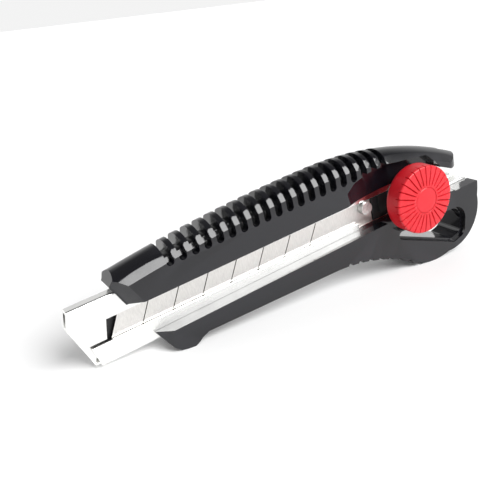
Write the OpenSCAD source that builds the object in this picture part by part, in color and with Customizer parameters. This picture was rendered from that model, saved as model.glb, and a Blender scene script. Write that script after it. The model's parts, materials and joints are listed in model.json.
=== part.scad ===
// Wheel-lock snap-off knife for an 18 mm blade.
// The outline is drawn in the blade's own frame: X runs to the rear from the blade's tip, Z runs up
// from the cutting edge, and Y runs away from the wheel, with zero at the blade's front face.
// seated() then leans the knife until its jaw and its hook stand on the ground.

/* [Blade] */
// Width of the blade, from its cutting edge to its back
blade_w = 18; // [17.8:0.1:18]
// Length of the blade, measured along its back
blade_len = 99; // [97:0.5:100]
// Thickness of the blade
blade_t = 0.5; // [0.4:0.05:0.5]
// Distance between two snap lines
snap_pitch = 10; // [9:0.5:10]
// Number of snap lines
snap_lines = 7; // [4:1:7]
// Angle between a snap line and the blade's length
snap_angle = 60; // [55:1:65]

/* [Channel] */
// Thickness of the folded steel sheet
sheet_t = 0.8; // [0.6:0.1:0.8]
// Height of the lower lip's edge above the cutting edge
lip_low = 5.4; // [4.8:0.1:5.8]
// Height of the upper lip's edge above the cutting edge
lip_high = 12.2; // [12:0.1:13]
// Rear end of the channel
channel_end = 141.6; // [139:0.2:142]

/* [Handle] */
// Distance from the blade's front face to the handle's front face
front_y = 6; // [5.6:0.1:6]
// Distance from the blade's front face to the handle's back face
back_y = 7; // [6.6:0.1:7.6]
// Height of the spine's highest point above the cutting edge
crest_z = 30.1; // [29.6:0.1:30.6]
// Height of the spine's rounded top above its shoulders
crown = 2.9; // [2.6:0.1:3.2]
// Number of grip grooves across the spine
groove_count = 20; // [10:1:20]
// Distance between two grip grooves
groove_pitch = 4.1; // [4:0.05:4.2]
// Width of a grip groove
groove_w = 2.4; // [2:0.1:2.6]
// Number of small notches under the rear finger rest
notch_count = 8; // [4:1:8]
// Lean of the blade line when the knife stands on its jaw and hook
lean = 7.65; // [7.6:0.05:7.7]

/* [Wheel] */
// Radius of the lock wheel
wheel_r = 11.4; // [10.8:0.1:11.6]
// Distance from the blade's tip back to the wheel's axis
wheel_x = 111.5; // [110:0.5:112]
// Number of grooves on the wheel's face
wheel_grooves = 28; // [20:1:30]
// Radius of the lock stud
stud_r = 2.45; // [2:0.05:2.5]

/* [Hidden] */
$fn = 96;

eps = 0.01;
far = 60;                                // longer than any cut needs
running = 0.05;                          // gap between pieces that slide or turn
seat_gap = 0.1;                          // gap between the channel and its seat in the handle
axis_z = 9.5;                            // height of the rivets and the wheel's axis

// stations along Y, from the lips at the front to the web at the back
lip_y0 = -1.1;
lip_y1 = lip_y0 + sheet_t;
plate_y0 = blade_t + running;
plate_y1 = plate_y0 + 0.8;
liner_y0 = plate_y1 + running;
liner_y1 = liner_y0 + 0.5;
web_y0 = liner_y1 + running;
web_y1 = web_y0 + sheet_t;

// the channel's inner and outer height
bore_z0 = -0.2;
bore_z1 = blade_w + 0.2;
channel_z0 = bore_z0 - sheet_t;
channel_z1 = bore_z1 + sheet_t;

nose_low = -1.7;                         // the lower lip starts here at the bottom
nose_high = -7.9;                        // and the web's corner reaches here
nose_corner_z = 13.4;
tongue_end = 3.4;                        // rear edge of the upper lip's tongue
arch_end_x = 129.6;                      // the arch over the wheel ends in a half round from here
lip_cut_x = 92.5;                        // the lower lip is cut down behind here, so that the carrier goes in
lip_cut_z = 4.2;
rivet_x = [50, 127];
rivet_r = 1.5;
rivet_head_r = 2.8;
rivet_head_t = 1;
rivet_sink = 0.2;                        // the rivets' heads lie this far below the back face
liner_x0 = 1.4;
liner_len = 88;

// handle
mid_y = (back_y - front_y) / 2;          // middle of the handle's thickness
half_w = (back_y + front_y) / 2;
crown_r = (half_w * half_w + crown * crown) / (2 * crown);
crest_x = 80;                            // the spine is highest here
spine_r_front = 480;
spine_r_rear = 120;
core_inset = 3;                          // depth of the grooves in the sides
core_drop = 3.6;                         // depth of the grooves in the crown
groove_x0 = 24.5;
groove_z0 = 21.5;                        // lower end of the first groove
groove_rise = 0.05;                      // each groove ends this much higher than the last
pocket_y = -2.6;                         // floor of the wheel's pocket
hook = [120.7, 3.3, 21.8];               // centre and radius of the rear hook's belly
heel = [127.7, -3.6, 14.3];              // centre and radius of its rear corner
rest = [75, -64.4, 60];                  // centre and radius of the finger rest's hollow
hole_step = 1.6;                         // depth of the hanging hole's wider mouth
notch_r = 0.85;
notch_x0 = 83.5;
notch_pitch = 4.1;
horn_z = 3.6;                            // top of the horn behind the wheel
mouth_x = 130.8;                         // the handle is open behind here, between the arch and the horn
shoulder_low = 1.1;                      // where the chamfer between side and crown starts, below their edge
shoulder_slope = 30;                     // and how far it leans in

// wheel
washer_y1 = lip_y0 - running;
washer_y0 = washer_y1 - 0.75;
spring_y0 = washer_y0 - 0.6;
hub_y1 = spring_y0 - running;
wheel_y1 = -front_y - 0.6;               // the wheel's underside clears the handle's front face
wheel_y0 = -13.3;                        // edge of its face
face_rise = 0.5;                         // the face is this much prouder in the middle
cap_r = 4.3;
cap_t = 1;                               // depth of the cap's seat
cap_edge = 0.25;                         // chamfer round the cap
cap_bulge = 0.1;                         // the cap's middle stands this much higher than its edge
insert_r = 3.6;
insert_y0 = -10.5;
hub_r = 4.7;
washer_r = 4.9;
washer_hole_r = stud_r + 0.1;
spring_washer_r = 4.4;
stud_y0 = -10.4;
stud_head_r = 3.4;
stud_head_t = 0.4;
rim_round = 0.7;                         // rounding of the wheel's rim towards its face
groove_r = 0.45;                         // radius of the grooves on the wheel's face and rim
groove_tilt = 97;                        // they run down a little towards the rim

// blade and carrier
bevel = 1.7;                             // height of the ground edge
edge_t = 0.06;                           // thickness left at the cutting edge
tail_cut = 5;                            // corner cut off the blade's tail
tail_hole_r = 2.15;
pin_x = 95.9;
pin_z = 9.9;
pin_y0 = -2.3;                           // the pin's face
pin_shank_r = 1.3;
score_w = 0.34;
score_depth = 0.16;
carrier_x0 = 85;
carrier_len = 36;
carrier_gap = 1;                         // from the carrier's edge to the blade's
clamp_x0 = 99.6;
clamp_len = 21;
shoe_x0 = 102;                           // the clamp's shoe fills the gap between the lips
shoe_len = 16;
shoe_gap = 0.3;

// the leaning knife's ends and its lowest point, which put the origin on the ground below its middle
front_end = nose_high * cos(lean) - nose_corner_z * sin(lean);
rear_end = heel[0] * cos(lean) - heel[1] * sin(lean) + heel[2];
floor_z = hook[0] * sin(lean) + hook[1] * cos(lean) - hook[2];
foot_x = 24.8;                           // the jaw's toe, which touches the ground as the hook does
foot_z = (floor_z - foot_x * sin(lean)) / cos(lean);
wheel_top = -wheel_y0 + face_rise + cap_bulge + running;

module seated() {
    translate([-(front_end + rear_end) / 2, (wheel_top - back_y) / 2, -floor_z])
        rotate([0, -lean, 0]) children();
}

// a flat outline drawn in X and Z, given its thickness between two stations along Y
module slab(y0, y1) {
    translate([0, y1, 0]) rotate([90, 0, 0]) linear_extrude(y1 - y0) children();
}

// a round bar along Y
module bar(x, z, r, y0, y1) {
    translate([x, y1, z]) rotate([90, 0, 0]) cylinder(r = r, h = y1 - y0);
}

// ---- handle ----

function belly_z(x) = x < rest[0] ? -3.2 - 0.027 * (x - 30)
    : rest[1] + sqrt(rest[2] * rest[2] - (x - rest[0]) * (x - rest[0]));

// everything between the spine and the ground, before the channel's slot is cut
module side_outline() {
    difference() {
        union() {
            polygon([[6.6, 21.6], [7.6, 19.4], [9.4, 15.2], [15.2, 2.2], [18.6, -3.4], [20.4, -4.9], [22.4, -5.5],
                     [foot_x, foot_z], [26.2, -5.2], [27.6, -4.2], [30, belly_z(30)],
                     [rest[0], belly_z(rest[0])], [rest[0], -20], [hook[0], -20], [hook[0], horn_z],
                     [mouth_x + 1, horn_z], [mouth_x, 5], [mouth_x, 12.1], [135, 12.3], [136.4, 13.6],
                     [136.6, 14.8], [134.6, 18], [133, 40], [20, 40], [9.6, 26]]);
            intersection() {
                union() {
                    translate([hook[0], hook[1]]) circle(r = hook[2], $fn = 160);
                    translate([heel[0], heel[1]]) circle(r = heel[2], $fn = 160);
                }
                translate([hook[0] - far, -far]) square([2 * far, far + horn_z]);
            }
        }
        translate([rest[0], rest[1]]) circle(r = rest[2], $fn = 200);
        difference() {
            translate([rest[0], -far]) square([hook[0] - rest[0] + 2, far - 2]);
            translate([hook[0], hook[1]]) circle(r = hook[2], $fn = 160);
            translate([rest[0] - 1, belly_z(hook[0] - 8.5)]) square([hook[0] - rest[0], 20]);
        }
    }
}

// the ring that a rounded spine sweeps about a point far below it
module spine_ring(r, inset, drop) {
    w = half_w - inset;
    low = r - crown_r - drop + sqrt(crown_r * crown_r - w * w) - shoulder_low;
    translate([crest_x, 0, crest_z - r]) rotate([90, 0, 0]) rotate_extrude($fn = 360)
        intersection() {
            translate([0, -mid_y]) polygon([[r - far, -w], [low, -w], [low + w / tan(shoulder_slope), 0],
                                            [low, w], [r - far, w]]);
            union() {
                translate([r - crown_r - drop, -mid_y]) circle(r = crown_r, $fn = 96);
                translate([r - far, -far / 2]) square([far - crown_r - drop, far]);
            }
        }
}

module spine_envelope(inset = 0, drop = 0) {
    intersection() {
        spine_ring(spine_r_front, inset, drop);
        translate([crest_x - 2 * far, -far, -far]) cube([2 * far, 2 * far, 2 * far]);
    }
    intersection() {
        spine_ring(spine_r_rear, inset, drop);
        translate([crest_x, -far, -far]) cube([2 * far, 2 * far, 2 * far]);
    }
}

// grooves across the spine: round-ended slots around a solid core
module grip_grooves() {
    difference() {
        slab(-front_y - 1, back_y + 1) for (i = [0 : groove_count - 1]) {
            x = groove_x0 + i * groove_pitch;
            z = groove_z0 + i * groove_rise + groove_w / 2;
            translate([x, z]) circle(d = groove_w);
            translate([x - groove_w / 2, z]) square([groove_w, 20]);
        }
        spine_envelope(core_inset, core_drop);
    }
}

// takes the corners off one end of the grip, on a line that slants by tilt; reach is the facets' length
module end_facets(x, z, tilt, reach, depth) {
    translate([x, 0, z]) rotate([0, tilt, 0]) translate([0, 0, -far / 2]) linear_extrude(far)
        for (side = [-1, 1]) {
            y = side < 0 ? -front_y : back_y;
            out = reach / depth;             // how much further back the facet's plane is 1 mm outside the face
            polygon([[out, y + side], [-reach, y - side * depth], [-far, y - side * depth],
                     [-far, y + side * far], [out, y + side * far]]);
        }
}

// the open side of the channel's slot, between the upper grip and the lower one
module slot_outline() {
    polygon([[0, 1.6], [20, 2.1], [98, 3.3], [119, 3.2], [129, 4.1], [150, 3.2], [150, 10.4], [131, 12.2],
             [126, 14.6], [91, 15.1], [0, 14.5]]);
}

module wheel_pocket() {
    intersection() {
        slab(-far, pocket_y)
            polygon([[84, 13], [86, 19], [90, 22], [96, 23.3], [104, 23.4], [112, 22.1], [121, 20.5],
                     [125.6, 15.4], [126, 13]]);
        union() {
            translate([106, pocket_y - far, 0]) cylinder(r = far, h = 40, $fn = 240);
            translate([106, -far, 0]) cube([30, far + pocket_y, 40]);
        }
    }
    intersection() {
        bar(wheel_x, axis_z, wheel_r + 1, -far, pocket_y);
        translate([90, -far, -20]) cube([40, 2 * far, 26]);
    }
}

// the hole behind the wheel, which a hook or a cord goes through; grow widens it
module hang_hole_outline(grow = 0) {
    hull() {
        translate([106.4, -3.4]) circle(r = 0.6 + grow, $fn = 32);
        translate([129.3, -13]) circle(r = 1.4 + grow, $fn = 32);
        translate([131.6, -11.6]) circle(r = 2.2 + grow, $fn = 32);
        translate([130.2, -7.6]) circle(r = 4.2 + grow, $fn = 32);
    }
}

module handle_body() color("#26262a") seated() difference() {
    intersection() {
        slab(-front_y, back_y) side_outline();
        spine_envelope();
    }
    translate([-far, lip_y0 - seat_gap, channel_z0 - seat_gap])
        cube([4 * far, web_y1 - lip_y0 + 2 * seat_gap, channel_z1 - channel_z0 + 2 * seat_gap]);
    slab(-far, lip_y0) slot_outline();
    wheel_pocket();
    slab(-far, far) hang_hole_outline();
    slab(-far, -front_y + hole_step) hang_hole_outline(1);
    slab(back_y - hole_step, far) hang_hole_outline(1);
    grip_grooves();
    intersection() {
        end_facets(12, 19.4, -24.8, 3.5, 3.1);
        translate([0, -far, 12]) cube([far, 2 * far, far]);
    }
    intersection() {
        end_facets(19.6, 0, 8, 4, 4);
        translate([0, -far, -far]) cube([far, 2 * far, far + 8]);
    }
    difference() {
        translate([arch_end_x, -far, 9]) cube([far, 2 * far, far]);
        translate([arch_end_x, mid_y, 0]) cylinder(r = half_w, h = far);
    }
    slab(-far, far) for (i = [0 : notch_count - 1]) {
        x = notch_x0 + i * notch_pitch;
        translate([x, belly_z(x)]) circle(r = notch_r, $fn = 24);
    }
    for (x = rivet_x) {
        bar(x, axis_z, rivet_r + running, 0, far);
        bar(x, axis_z, rivet_head_r + running, back_y - rivet_head_t - rivet_sink, far);
    }
}

// ---- channel ----

// the folded sheet in cross-section, drawn in Y and Z
module channel_section() {
    difference() {
        translate([lip_y0, channel_z0]) square([web_y1 - lip_y0, channel_z1 - channel_z0]);
        translate([lip_y1, bore_z0]) square([web_y0 - lip_y1, bore_z1 - bore_z0]);
        for (fold = [[0, 0], [0, 1], [1, 0], [1, 1]])
            fold_corner(fold[0], fold[1]);
    }
}

// what the outside of a fold loses to its bending radius
module fold_corner(back, top) {
    y = back ? web_y1 : lip_y0;
    z = top ? channel_z1 : channel_z0;
    r = sheet_t * 0.9;
    difference() {
        translate([y, z]) square(2 * r, center = true);
        translate([y + (back ? -r : r), z + (top ? -r : r)]) circle(r = r, $fn = 32);
    }
}

module channel() color("silver") seated() difference() {
    translate([nose_high, 0, 0]) rotate([90, 0, 90]) linear_extrude(channel_end - nose_high) channel_section();
    // the web's slanting nose, and the lower lip's, which stands a little behind it
    slab(-far, far) polygon([[nose_low - 1.2, channel_z0 - 1], [nose_low - 1.6, channel_z0],
                             [nose_high, nose_corner_z], [nose_high + 1.6, channel_z1],
                             [nose_high + 1.8, 30], [-far, 30], [-far, channel_z0 - 1]]);
    slab(-far, lip_y1 + 1) polygon([[nose_low + 0.2, channel_z0 - 1], [nose_low - 1.6, lip_low + 0.5],
                                [nose_high, nose_corner_z], [-far, nose_corner_z], [-far, channel_z0 - 1]]);
    // the gap between the lips, narrow at the nose where the upper lip has a tongue
    translate([-far, -far, lip_low]) cube([4 * far, far, 1]);
    slab(-far, 0) polygon([[tongue_end - 1.8, lip_low + 0.1], [tongue_end, lip_high], [4 * far, lip_high],
                           [4 * far, lip_low + 0.1]]);
    // the lower lip stops short of the lock, so that the carrier goes in here
    translate([lip_cut_x, -far, lip_cut_z]) cube([4 * far, far, lip_low - lip_cut_z + 1]);
    // the rear end is cut on a slant that follows the arch
    slab(-far, far) polygon([[channel_end + 0.1, 9], [131, 14], [126, 30], [4 * far, 30], [4 * far, 9]]);
    for (x = rivet_x)
        bar(x, axis_z, rivet_r + running, 0, far);
}

module channel_liner() color("#202022") seated()
    translate([liner_x0, liner_y0, bore_z0 + running])
            cube([liner_len, liner_y1 - liner_y0, bore_z1 - bore_z0 - 2 * running]);

module channel_rivets() color("silver") seated() for (x = rivet_x) {
    bar(x, axis_z, rivet_r, web_y0, back_y - rivet_head_t - rivet_sink + eps);
    bar(x, axis_z, rivet_head_r, back_y - rivet_head_t - rivet_sink, back_y - rivet_sink);
}

// ---- blade and carrier ----

function snap_x(i, z) = i * snap_pitch + z / tan(snap_angle);

module blade() color("gainsboro") seated() difference() {
    // ground on both faces down to the cutting edge
    rotate([90, 0, 90]) linear_extrude(blade_len)
        polygon([[0, blade_w], [blade_t, blade_w], [blade_t, bevel],
                 [(blade_t + edge_t) / 2, 0], [(blade_t - edge_t) / 2, 0], [0, bevel]]);
    slab(-far, far) polygon([[0, -eps], [snap_x(0, 20), 20], [-far, 20], [-far, -eps]]);
    slab(-far, far) polygon([[blade_len - tail_cut, 0], [blade_len + tail_cut, -1], [blade_len + tail_cut, tail_cut]]);
    for (i = [1 : snap_lines])
        slab(-1, score_depth) polygon([[snap_x(i, -1) - score_w / 2, -1], [snap_x(i, -1) + score_w / 2, -1],
                                       [snap_x(i, 20) + score_w / 2, 20], [snap_x(i, 20) - score_w / 2, 20]]);
    bar(pin_x, pin_z, tail_hole_r + running, -1, 2);
}

module carrier_plate() color("silver") seated() difference() {
    translate([carrier_x0, plate_y0, carrier_gap])
        cube([carrier_len, plate_y1 - plate_y0, blade_w - 2 * carrier_gap]);
    bar(pin_x, pin_z, pin_shank_r + running, -1, 3);
    bar(wheel_x, axis_z, stud_r + running, -1, 3);
    bar(wheel_x, axis_z, stud_head_r + running, plate_y1 - stud_head_t, 3);
}

module blade_pin() color("silver") seated() {
    bar(pin_x, pin_z, pin_shank_r, plate_y0, plate_y1);
    bar(pin_x, pin_z, tail_hole_r, pin_y0, plate_y0);
}

module clamp_block() color("#202022") seated() difference() {
    union() {
        translate([clamp_x0, lip_y1 + running, 2 * running])
            cube([clamp_len, plate_y0 - lip_y1 - 2 * running, blade_w - 4 * running]);
        translate([shoe_x0, lip_y0 + running, lip_low + shoe_gap])
            cube([shoe_len, sheet_t, lip_high - lip_low - 2 * shoe_gap]);
    }
    bar(wheel_x, axis_z, stud_r + running, -3, 3);
}

module lock_stud() color("silver") seated() {
    bar(wheel_x, axis_z, stud_r, stud_y0, plate_y1 - stud_head_t + eps);
    bar(wheel_x, axis_z, stud_head_r, plate_y1 - stud_head_t, plate_y1);
}

// ---- lock wheel ----

module ring_y(r_out, r_in, y0, y1) {
    difference() {
        bar(wheel_x, axis_z, r_out, y0, y1);
        bar(wheel_x, axis_z, r_in, y0 - 1, y1 + 1);
    }
}

module pressure_washer() color("silver") seated()
    ring_y(washer_r, washer_hole_r, washer_y0, washer_y1);

module spring_washer() color("silver") seated()
    ring_y(spring_washer_r, washer_hole_r, spring_y0 + running, washer_y0 - running);

// anything drawn about Z with its face up, turned to lie on the wheel's axis with its face to the front
module on_axis() {
    translate([wheel_x, 0, axis_z]) rotate([90, 0, 0]) children();
}

module wheel() color("#e0303a") seated() on_axis() difference() {
    rotate_extrude($fn = 120)
        polygon([[insert_r + eps, -hub_y1], [hub_r, -hub_y1], [hub_r, -wheel_y1], [wheel_r - 1, -wheel_y1],
                 [wheel_r - 0.3, -wheel_y1 + 0.7], [wheel_r, -wheel_y1 + 2], [wheel_r, -wheel_y0 - rim_round],
                 [wheel_r - rim_round, -wheel_y0], [cap_r + running, -wheel_y0 + face_rise],
                 [cap_r + running, -wheel_y0 - cap_t], [insert_r + eps, -wheel_y0 - cap_t]]);
    for (i = [0 : wheel_grooves - 1])
        rotate([0, 0, i * 360 / wheel_grooves]) {
            translate([cap_r + 0.6, 0, -wheel_y0 + face_rise + 0.15]) rotate([0, groove_tilt, 0])
                cylinder(r = groove_r, h = wheel_r, $fn = 16);
            translate([wheel_r + 0.2, 0, -wheel_y0 - 3]) cylinder(r = groove_r, h = far, $fn = 16);
        }
}

module wheel_insert() color("#c9a14a") seated()
    ring_y(insert_r, stud_r + running, insert_y0, hub_y1);

module wheel_cap() color("#e0303a") seated() on_axis()
    translate([0, 0, -wheel_y0 - cap_t + running])
        rotate_extrude($fn = 96)
            polygon([[0, 0], [cap_r, 0], [cap_r, cap_t + face_rise - cap_edge],
                     [cap_r - cap_edge, cap_t + face_rise - running], [0, cap_t + face_rise + cap_bulge]]);

handle_body();
channel();
channel_liner();
channel_rivets();
blade();
carrier_plate();
blade_pin();
clamp_block();
lock_stud();
pressure_washer();
spring_washer();
wheel();
wheel_insert();
wheel_cap();
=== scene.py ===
import json
import math

import bmesh
import bpy
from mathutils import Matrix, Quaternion, Vector


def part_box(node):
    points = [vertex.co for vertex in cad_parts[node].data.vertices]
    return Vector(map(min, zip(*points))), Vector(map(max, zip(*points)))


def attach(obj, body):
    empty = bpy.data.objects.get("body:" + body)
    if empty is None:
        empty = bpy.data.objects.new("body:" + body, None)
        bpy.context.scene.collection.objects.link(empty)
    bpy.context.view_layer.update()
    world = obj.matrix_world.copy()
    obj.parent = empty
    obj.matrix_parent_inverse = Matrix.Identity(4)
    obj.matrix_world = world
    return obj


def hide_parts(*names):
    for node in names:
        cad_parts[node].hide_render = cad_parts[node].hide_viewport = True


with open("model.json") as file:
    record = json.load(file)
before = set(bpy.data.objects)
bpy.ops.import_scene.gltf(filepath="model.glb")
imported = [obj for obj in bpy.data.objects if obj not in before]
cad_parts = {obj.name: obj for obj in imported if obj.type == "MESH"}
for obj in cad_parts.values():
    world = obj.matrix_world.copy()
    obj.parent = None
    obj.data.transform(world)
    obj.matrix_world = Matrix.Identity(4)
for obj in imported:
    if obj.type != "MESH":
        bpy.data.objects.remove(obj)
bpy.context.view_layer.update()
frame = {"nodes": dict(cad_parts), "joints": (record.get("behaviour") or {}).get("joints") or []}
nodes = frame["nodes"]
joints = {j["name"]: j for j in frame["joints"]}
mm = 0.001

# the knife stands on its jaw and hook, so the blade line leans: this is the way to its rear
rearward = -Vector(joints["blade_slide"]["axis"]).normalized()
lean = math.atan2(rearward.z, rearward.x)
print("frame loaded:", len(nodes), "nodes, lean", round(math.degrees(lean), 2))


def hexColour(code):
    values = [int(code[i:i + 2], 16) / 255 for i in (1, 3, 5)]
    return [v / 12.92 if v <= 0.04045 else ((v + 0.055) / 1.055) ** 2.4 for v in values] + [1.0]


def newMaterial(name):
    material = bpy.data.materials.new(name)
    material.use_nodes = True
    material.node_tree.nodes.clear()
    return material


# settings are a node's own properties or its inputs, by name or number; links are input -> output socket
def addNode(material, kind, settings=None, links=None):
    tree = material.node_tree
    node = tree.nodes.new(kind)
    for key, value in (settings or {}).items():
        if isinstance(key, str) and hasattr(node, key):
            setattr(node, key, value)
        else:
            node.inputs[key].default_value = value
    for key, socket in (links or {}).items():
        tree.links.new(socket, node.inputs[key])
    return node


# the blade's own directions, which move with the piece: x along the blade, y through it, z up from its edge
def bladeSpace(material):
    place = addNode(material, "ShaderNodeTexCoord")
    return addNode(material, "ShaderNodeVectorRotate", {"rotation_type": "Y_AXIS", "Angle": lean},
                   {"Vector": place.outputs["Object"]}).outputs[0]


# a cloud that swings roughness between two values, as fingers and oil do
def cloudedRoughness(material, place, size, limits):
    cloud = addNode(material, "ShaderNodeTexNoise",
                    {"Scale": 1 / (size * mm), "Detail": 4.0, "Roughness": 0.6}, {"Vector": place})
    return addNode(material, "ShaderNodeMapRange",
                   {"From Min": 0.35, "From Max": 0.65, "To Min": limits[0], "To Max": limits[1]},
                   {"Value": cloud.outputs["Fac"]}).outputs[0]


# from the dark hex colour to the light one as the pattern goes from low to high
def tonedBy(material, pattern, colours, low=0.3, high=0.7):
    share = addNode(material, "ShaderNodeMapRange", {"From Min": low, "From Max": high}, {"Value": pattern})
    return addNode(material, "ShaderNodeMix", {"data_type": "RGBA", 6: hexColour(colours[0]),
                                               7: hexColour(colours[1])}, {0: share.outputs[0]}).outputs[2]


def finishMaterial(material, shader):
    addNode(material, "ShaderNodeOutputMaterial", links={"Surface": shader.outputs[0]})
    return material


# ABS, injection moulded: black with a cool cast, and a polished skin that mirrors softly
handleAbs = {"colour": "#0b0b10", "worn": "#17171c", "ior": 1.54, "roughness": (0.1, 0.17), "cloud": 9,
             "grain": 0.35, "grainHeight": 0.004, "bump": 0.3}


def blackMouldedAbs():
    m = newMaterial("moulded_abs_black")
    place = bladeSpace(m)
    grain = addNode(m, "ShaderNodeTexNoise", {"Scale": 1 / (handleAbs["grain"] * mm), "Detail": 2.0},
                    {"Vector": place})
    edge = addNode(m, "ShaderNodeNewGeometry")
    colour = tonedBy(m, edge.outputs["Pointiness"], (handleAbs["colour"], handleAbs["worn"]), 0.53, 0.62)
    bump = addNode(m, "ShaderNodeBump",
                   {"Strength": handleAbs["bump"], "Distance": handleAbs["grainHeight"] * mm},
                   {"Height": grain.outputs["Fac"]})
    rough = cloudedRoughness(m, place, handleAbs["cloud"], handleAbs["roughness"])
    return finishMaterial(m, addNode(m, "ShaderNodeBsdfPrincipled", {"IOR": handleAbs["ior"]},
                                     {"Base Color": colour, "Roughness": rough, "Normal": bump.outputs[0]}))


# steel sheet, bright cold rolled: faint lines run along the strip, and it mirrors softly; the lines are drawn
# wider than real ones, so that they show
rolledSheet = {"colour": ("#ececea", "#f8f8f6"), "roughness": (0.16, 0.27), "cloud": 12, "lineWidth": 0.12,
               "lineLength": 14, "lineDepth": 0.004, "bump": 0.12}


def brightRolledSteel():
    m = newMaterial("rolled_steel_bright")
    place = bladeSpace(m)
    across = 1 / (rolledSheet["lineWidth"] * mm)
    along = 1 / (rolledSheet["lineLength"] * mm)
    drawn = addNode(m, "ShaderNodeVectorMath", {"operation": "MULTIPLY", 1: (along, across, across)},
                    {0: place})
    strip = addNode(m, "ShaderNodeTexNoise", {"Scale": 1.0, "Detail": 3.0}, {"Vector": drawn.outputs[0]})
    colour = tonedBy(m, strip.outputs["Fac"], rolledSheet["colour"])
    bump = addNode(m, "ShaderNodeBump",
                   {"Strength": rolledSheet["bump"], "Distance": rolledSheet["lineDepth"] * mm},
                   {"Height": strip.outputs["Fac"]})
    rough = cloudedRoughness(m, place, rolledSheet["cloud"], rolledSheet["roughness"])
    return finishMaterial(m, addNode(m, "ShaderNodeBsdfPrincipled", {"Metallic": 1.0},
                                     {"Base Color": colour, "Roughness": rough, "Normal": bump.outputs[0]}))


# carbon steel, ground: fine marks cross the blade and oil clouds it, and the snap lines nearest the tip are
# painted dark, as painted shade in their scored grooves;
# the marks are drawn wider than real ones, so that they show
bladeSteel = {"colour": ("#d4d2cf", "#e4e2df"), "roughness": (0.3, 0.42), "cloud": 7, "markWidth": 0.16,
              "markLength": 1.2, "markDepth": 0.004, "bump": 0.2, "pitch": 10, "angle": 60, "lines": 7,
              "lineWidth": 0.34, "grooveShade": "#1c1b1a"}


def groundBladeSteel():
    m = newMaterial("carbon_steel_ground")
    place = bladeSpace(m)
    stretch = (1 / (bladeSteel["markWidth"] * mm), 1 / mm, 1 / (bladeSteel["markLength"] * mm))
    drawn = addNode(m, "ShaderNodeVectorMath", {"operation": "MULTIPLY", 1: stretch}, {0: place})
    grind = addNode(m, "ShaderNodeTexNoise", {"Scale": 1.0, "Detail": 3.0}, {"Vector": drawn.outputs[0]})
    steel = tonedBy(m, grind.outputs["Fac"], bladeSteel["colour"])

    # the snap lines start at the tip: how far back a point lies, measured along the edge on a line's slant
    turn = Quaternion((0, 1, 0), lean)
    corners = [turn @ v.co for v in nodes["blade"].data.vertices]
    edge = min(c.z for c in corners)
    slant = 1 / math.tan(math.radians(bladeSteel["angle"]))
    tip = min(c.x - (c.z - edge) * slant for c in corners)
    parts = addNode(m, "ShaderNodeSeparateXYZ", links={0: place})
    back = addNode(m, "ShaderNodeMath", {"operation": "MULTIPLY_ADD", 1: -slant},
                   {0: parts.outputs["Z"], 2: parts.outputs["X"]})
    offset = addNode(m, "ShaderNodeMath", {"operation": "SUBTRACT", 1: tip - edge * slant},
                     {0: back.outputs[0]})
    pitch = bladeSteel["pitch"] * mm
    nearest = addNode(m, "ShaderNodeMath", {"operation": "PINGPONG", 1: pitch / 2}, {0: offset.outputs[0]})
    onLine = addNode(m, "ShaderNodeMath", {"operation": "LESS_THAN", 1: bladeSteel["lineWidth"] / 2 * mm},
                     {0: nearest.outputs[0]})
    scored = addNode(m, "ShaderNodeMath", {"operation": "LESS_THAN", 1: (bladeSteel["lines"] + 0.5) * pitch},
                     {0: offset.outputs[0]})
    # painted shade: the snap lines nearest the tip are coloured dark, standing in for the shade in their
    # scored grooves
    shadedLine = addNode(m, "ShaderNodeMath", {"operation": "MULTIPLY"},
                    {0: onLine.outputs[0], 1: scored.outputs[0]})
    colour = addNode(m, "ShaderNodeMix", {"data_type": "RGBA", 7: hexColour(bladeSteel["grooveShade"])},
                     {0: shadedLine.outputs[0], 6: steel})
    bump = addNode(m, "ShaderNodeBump",
                   {"Strength": bladeSteel["bump"], "Distance": bladeSteel["markDepth"] * mm},
                   {"Height": grind.outputs["Fac"]})
    rough = cloudedRoughness(m, place, bladeSteel["cloud"], bladeSteel["roughness"])
    return finishMaterial(m, addNode(m, "ShaderNodeBsdfPrincipled", {"Metallic": 1.0},
                                     {"Base Color": colour.outputs[2], "Roughness": rough,
                                      "Normal": bump.outputs[0]}))


# steel bar, turned and plated: rings round the axis shimmer on an end face, drawn wider apart than real ones
turnedBar = {"colour": ("#c4c4c2", "#e6e6e4"), "roughness": 0.42, "ringPitch": 0.22, "ringDepth": 0.005,
             "cloud": 0.9, "bump": 0.2}


def turnedSteel(name, axisPoint):
    m = newMaterial(name)
    place = addNode(m, "ShaderNodeTexCoord").outputs["Object"]
    offset = addNode(m, "ShaderNodeVectorMath", {"operation": "SUBTRACT", 1: tuple(axisPoint)}, {0: place})
    flat = addNode(m, "ShaderNodeVectorMath", {"operation": "MULTIPLY", 1: (1.0, 0.0, 1.0)},
                   {0: offset.outputs[0]})
    radius = addNode(m, "ShaderNodeVectorMath", {"operation": "LENGTH"}, {0: flat.outputs[0]})
    perMetre = 2 * math.pi / (turnedBar["ringPitch"] * mm)
    turns = addNode(m, "ShaderNodeMath", {"operation": "MULTIPLY", 1: perMetre}, {0: radius.outputs["Value"]})
    rings = addNode(m, "ShaderNodeMath", {"operation": "SINE"}, {0: turns.outputs[0]})
    cloud = addNode(m, "ShaderNodeTexNoise", {"Scale": 1 / (turnedBar["cloud"] * mm), "Detail": 3.0},
                    {"Vector": place})
    colour = tonedBy(m, cloud.outputs["Fac"], turnedBar["colour"])
    bump = addNode(m, "ShaderNodeBump",
                   {"Strength": turnedBar["bump"], "Distance": turnedBar["ringDepth"] * mm},
                   {"Height": rings.outputs[0]})
    return finishMaterial(m, addNode(m, "ShaderNodeBsdfPrincipled",
                                     {"Metallic": 1.0, "Roughness": turnedBar["roughness"]},
                                     {"Base Color": colour, "Normal": bump.outputs[0]}))


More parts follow.
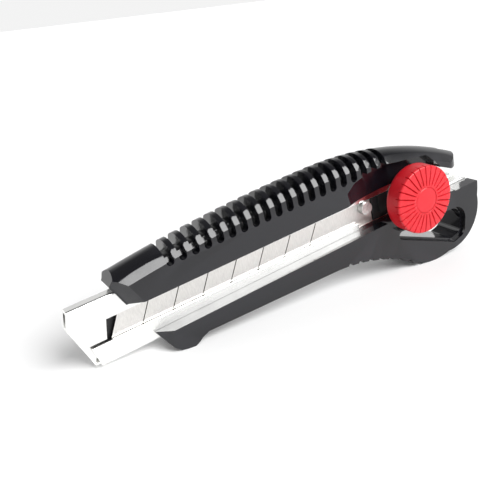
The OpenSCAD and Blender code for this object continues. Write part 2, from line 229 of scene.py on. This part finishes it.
# polypropylene, injection moulded: strong red that light enters a little, satin from a blasted mould
wheelRed = {"colour": ("#c41420", "#d01c2a"), "ior": 1.49, "roughness": (0.32, 0.44), "cloud": 4,
            "grain": 0.3, "grainHeight": 0.01, "bump": 0.3, "glow": 0.08, "glowDepth": (1.2, 0.3, 0.2)}


def redMouldedPolypropylene():
    m = newMaterial("moulded_polypropylene_red")
    place = addNode(m, "ShaderNodeTexCoord").outputs["Object"]
    cloud = addNode(m, "ShaderNodeTexNoise", {"Scale": 1 / (wheelRed["cloud"] * mm), "Detail": 4.0},
                    {"Vector": place})
    grain = addNode(m, "ShaderNodeTexNoise", {"Scale": 1 / (wheelRed["grain"] * mm), "Detail": 2.0},
                    {"Vector": place})
    colour = tonedBy(m, cloud.outputs["Fac"], wheelRed["colour"])
    rough = cloudedRoughness(m, place, wheelRed["cloud"], wheelRed["roughness"])
    bump = addNode(m, "ShaderNodeBump",
                   {"Strength": wheelRed["bump"], "Distance": wheelRed["grainHeight"] * mm},
                   {"Height": grain.outputs["Fac"]})
    glowDepth = tuple(depth * mm for depth in wheelRed["glowDepth"])
    return finishMaterial(m, addNode(m, "ShaderNodeBsdfPrincipled",
                                     {"IOR": wheelRed["ior"], "Subsurface Weight": wheelRed["glow"],
                                      "Subsurface Radius": glowDepth, "Subsurface Scale": 1.0},
                                     {"Base Color": colour, "Roughness": rough, "Normal": bump.outputs[0]}))


# nylon, moulded and left matt: it slides in the channel, so it is dull, waxy and rubbed lengthways
slidingNylon = {"colour": ("#0e0e10", "#1a1a1c"), "ior": 1.53, "roughness": 0.5, "rubWidth": 0.5,
                "rubLength": 8, "rubDepth": 0.01, "bump": 0.3}


def blackNylon():
    m = newMaterial("moulded_nylon_black")
    place = bladeSpace(m)
    across = 1 / (slidingNylon["rubWidth"] * mm)
    along = 1 / (slidingNylon["rubLength"] * mm)
    drawn = addNode(m, "ShaderNodeVectorMath", {"operation": "MULTIPLY", 1: (along, across, across)},
                    {0: place})
    rub = addNode(m, "ShaderNodeTexNoise", {"Scale": 1.0, "Detail": 3.0}, {"Vector": drawn.outputs[0]})
    colour = tonedBy(m, rub.outputs["Fac"], slidingNylon["colour"])
    bump = addNode(m, "ShaderNodeBump",
                   {"Strength": slidingNylon["bump"], "Distance": slidingNylon["rubDepth"] * mm},
                   {"Height": rub.outputs["Fac"]})
    return finishMaterial(m, addNode(m, "ShaderNodeBsdfPrincipled",
                                     {"IOR": slidingNylon["ior"], "Roughness": slidingNylon["roughness"]},
                                     {"Base Color": colour, "Normal": bump.outputs[0]}))


# brass, turned: warm yellow, dulled a little by handling
insertBrass = {"colour": ("#b08a48", "#d4ae68"), "roughness": 0.3, "cloud": 2}


def turnedBrass():
    m = newMaterial("turned_brass")
    place = addNode(m, "ShaderNodeTexCoord").outputs["Object"]
    tarnish = addNode(m, "ShaderNodeTexNoise", {"Scale": 1 / (insertBrass["cloud"] * mm), "Detail": 4.0},
                      {"Vector": place})
    colour = tonedBy(m, tarnish.outputs["Fac"], insertBrass["colour"])
    return finishMaterial(m, addNode(m, "ShaderNodeBsdfPrincipled",
                                     {"Metallic": 1.0, "Roughness": insertBrass["roughness"]},
                                     {"Base Color": colour}))


def paint(name, material):
    piece = nodes[name]
    piece.data.materials.clear()
    piece.data.materials.append(material)


softening = {"weldGap": 0.002, "edgeAngle": 28, "segments": 2}


# a moulded or folded edge is never sharp: join the faces, round the edges, keep the flats flat
def soften(name, width):
    piece = nodes[name]
    weld = piece.modifiers.new("joinFaces", "WELD")
    weld.merge_threshold = softening["weldGap"] * mm
    bevel = piece.modifiers.new("roundEdges", "BEVEL")
    bevel.width = width * mm
    bevel.segments = softening["segments"]
    bevel.limit_method = "ANGLE"
    bevel.angle_limit = math.radians(softening["edgeAngle"])
    bevel.use_clamp_overlap = True
    bevel.harden_normals = False
    for face in piece.data.polygons:
        face.use_smooth = True
    flats = piece.modifiers.new("keepFlats", "WEIGHTED_NORMAL")
    flats.keep_sharp = True


def nodeCentre(name):
    low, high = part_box(name)
    return (low + high) / 2


rolled = brightRolledSteel()
nylon = blackNylon()
pinSteel = turnedSteel("turned_steel_pin", nodeCentre("blade_pin"))
studSteel = turnedSteel("turned_steel_stud", nodeCentre("lock_stud"))
red = redMouldedPolypropylene()

finishes = {"handle_body": blackMouldedAbs(), "channel": rolled, "carrier_plate": rolled,
            "channel_liner": nylon, "clamp_block": nylon, "blade": groundBladeSteel(), "blade_pin": pinSteel,
            "channel_rivets": pinSteel, "lock_stud": studSteel, "pressure_washer": studSteel,
            "spring_washer": studSteel, "wheel_insert": turnedBrass(), "wheel_cap": red}
for name, material in finishes.items():
    paint(name, material)
print("finishes painted:", len(finishes))

# how far each piece's edges are rounded, in mm
roundings = {"handle_body": 0.22, "channel": 0.1, "blade_pin": 0.1, "wheel_cap": 0.04, "carrier_plate": 0.08,
             "clamp_block": 0.12}
for name, width in roundings.items():
    soften(name, width)
print("edges softened:", len(roundings))


# the lock wheel, with narrow V grooves that run from its middle to just over the rim
lockWheelSizes = {"grooves": 28, "grooveInner": 4.7, "grooveFade": 0.8, "grooveWidth": 0.42,
                  "grooveDepth": 0.6, "grooveRun": 1.4, "faceRise": 0.5, "faceCurve": 1.6, "edgeRound": 0.7,
                  "hubRadius": 4.7, "hubLength": 4.05, "hubChamfer": 0.4, "seatDepth": 1.5, "fit": 0.03,
                  "rimTaper": 1.2, "rimStep": (0.25, 0.5), "rimInset": 1.0,
                  "rowStep": 0.35, "cornerRows": 6, "sideRows": 10, "perGroove": 24, "creaseAngle": 32}


def lockWheel(name, body, material):
    size = lockWheelSizes
    low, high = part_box("wheel")
    capLow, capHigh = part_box("wheel_cap")
    insertLow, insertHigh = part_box("wheel_insert")
    centre = (low + high) / 2
    outer = (high.x - low.x) / 2 / mm
    capRadius = (capHigh.x - capLow.x) / 2 / mm + size["fit"]
    insertRadius = (insertHigh.x - insertLow.x) / 2 / mm + size["fit"]
    front, back = low.y / mm, high.y / mm
    frontRim = front + size["faceRise"]            # the face's rim, which the middle stands proud of
    under = back - size["hubLength"]               # underside of the wheel, above its hub
    seatFloor = front + size["seatDepth"]
    hub = size["hubRadius"]

    # the section runs from the cap's seat over the face and rim to the hub: radius, y, share of groove
    firstRow = capRadius + 2 * size["fit"]
    section = [(insertRadius, seatFloor, 0), (capRadius, seatFloor, 0),
               (capRadius, front + 2 * size["fit"], 0), (firstRow, front, 0)]
    corner = size["edgeRound"]
    faceEnd = outer - corner
    rows = round((faceEnd - capRadius) / size["rowStep"])
    for i in range(1, rows + 1):
        r = firstRow + (faceEnd - firstRow) * i / rows
        y = front + size["faceRise"] * ((r - capRadius) / (faceEnd - capRadius)) ** size["faceCurve"]
        section.append((r, y, min(1.0, max(0.0, (r - size["grooveInner"]) / size["grooveFade"]))))
    for i in range(1, size["cornerRows"] + 1):
        a = math.radians(90 * i / size["cornerRows"])
        section.append((faceEnd + corner * math.sin(a), frontRim + corner * (1 - math.cos(a)), 1.0))
    side = under - frontRim - corner - size["rimTaper"]
    for i in range(1, size["sideRows"] + 1):
        run = side * i / size["sideRows"]
        section.append((outer, frontRim + corner + run, max(0.0, 1 - run / size["grooveRun"])))
    stepIn, stepUp = size["rimStep"]
    section += [(outer - stepIn, under - stepUp, 0), (outer - size["rimInset"], under, 0),
                (hub + size["hubChamfer"], under, 0), (hub, under + size["hubChamfer"], 0), (hub, back, 0),
                (insertRadius, back, 0)]

    around = size["grooves"] * size["perGroove"]
    mesh = bmesh.new()
    rings = []
    for k, (r, y, share) in enumerate(section):
        ahead = section[min(k + 1, len(section) - 1)]
        behind = section[max(k - 1, 0)]
        along = Vector((ahead[0] - behind[0], ahead[1] - behind[1])).normalized()
        inward = Vector((-along.y, along.x))       # into the plastic
        ring = []
        for j in range(around):
            pitch = j / size["perGroove"]
            angle = 2 * math.pi * pitch / size["grooves"]
            # distance from the nearest groove's middle, along the arc
            off = abs(pitch - round(pitch)) * 2 * math.pi * r / size["grooves"]
            cut = share * size["grooveDepth"] * max(0.0, 1 - off / (size["grooveWidth"] / 2))
            cutR, cutY = r + inward.x * cut, y + inward.y * cut
            ring.append(mesh.verts.new((centre.x + cutR * mm * math.cos(angle), cutY * mm,
                                        centre.z + cutR * mm * math.sin(angle))))
        rings.append(ring)
    for a, b in zip(rings, rings[1:] + rings[:1]):
        for j in range(around):
            n = (j + 1) % around
            mesh.faces.new((a[j], a[n], b[n], b[j]))
    bmesh.ops.recalc_face_normals(mesh, faces=mesh.faces)
    data = bpy.data.meshes.new(name)
    mesh.to_mesh(data)
    mesh.free()
    piece = bpy.data.objects.new(name, data)
    bpy.context.scene.collection.objects.link(piece)
    data.materials.append(material)
    for face in data.polygons:
        face.use_smooth = True
    data.set_sharp_from_angle(angle=math.radians(size["creaseAngle"]))
    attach(piece, body)
    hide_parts("wheel")


lockWheel("lock_wheel", "wheel", red)
print("lock wheel built")


# a white floor, a soft light from the front and above, a faint one from behind, and a sky that is bright
# low down
studio = {"floor": "#f8f8f8", "floorSize": 6.0, "floorRoughness": 0.75,
          "skyHigh": 0.22, "skyLow": 0.9, "skyBand": (0.4, 0.7),
          "key": {"from": (0.3, -0.7, 0.65), "spread": 42, "strength": 3.7},
          "back": {"from": (-0.5, 0.75, 0.45), "spread": 40, "strength": 0.35}}


def makeFloor():
    bpy.ops.mesh.primitive_plane_add(size=studio["floorSize"], location=(0, 0, 0))
    floor = bpy.context.object
    floor.name = "floor"
    m = newMaterial("floor_card")
    shader = addNode(m, "ShaderNodeBsdfPrincipled",
                     {"Base Color": hexColour(studio["floor"]), "Roughness": studio["floorRoughness"]})
    floor.data.materials.append(finishMaterial(m, shader))


def makeLamp(name):
    lamp = studio[name]
    data = bpy.data.lights.new(name, "SUN")
    data.angle = math.radians(lamp["spread"])
    data.energy = lamp["strength"]
    piece = bpy.data.objects.new(name, data)
    piece.rotation_mode = "QUATERNION"
    piece.rotation_quaternion = Vector(lamp["from"]).to_track_quat("Z", "Y")
    bpy.context.scene.collection.objects.link(piece)


def makeSky():
    world = bpy.data.worlds.new("studio_sky")
    world.use_nodes = True
    back = world.node_tree.nodes["Background"]
    place = addNode(world, "ShaderNodeTexCoord")
    parts = addNode(world, "ShaderNodeSeparateXYZ", links={0: place.outputs["Generated"]})
    low, high = studio["skyBand"]
    glow = addNode(world, "ShaderNodeMapRange",
                   {"From Min": low, "From Max": high,
                    "To Min": studio["skyLow"], "To Max": studio["skyHigh"]},
                   {"Value": parts.outputs["Z"]})
    back.inputs["Color"].default_value = (1, 1, 1, 1)
    world.node_tree.links.new(glow.outputs[0], back.inputs["Strength"])
    bpy.context.scene.world = world


# the camera stands close, a little above the knife and off its blade end, and is tipped to its right
camera = {"place": (-107.8, -168.8, 98.4), "looks": (0.43752, 0.822, -0.3645), "roll": -5.93,
          "lens": 49.15, "sensor": 36, "nearest": 5, "farthest": 20000}


def makeCamera():
    data = bpy.data.cameras.new("camera")
    data.lens = camera["lens"]
    data.sensor_width = camera["sensor"]
    data.clip_start = camera["nearest"] * mm
    data.clip_end = camera["farthest"] * mm
    piece = bpy.data.objects.new("camera", data)
    piece.location = Vector(camera["place"]) * mm
    piece.rotation_mode = "QUATERNION"
    level = Vector(camera["looks"]).to_track_quat("-Z", "Y")
    piece.rotation_quaternion = level @ Quaternion((0, 0, 1), math.radians(camera["roll"]))
    bpy.context.scene.collection.objects.link(piece)
    bpy.context.scene.camera = piece


makeFloor()
for name in ("key", "back"):
    makeLamp(name)
makeSky()
makeCamera()
bpy.context.scene.view_settings.view_transform = "Standard"
print("floor, lights and camera placed")
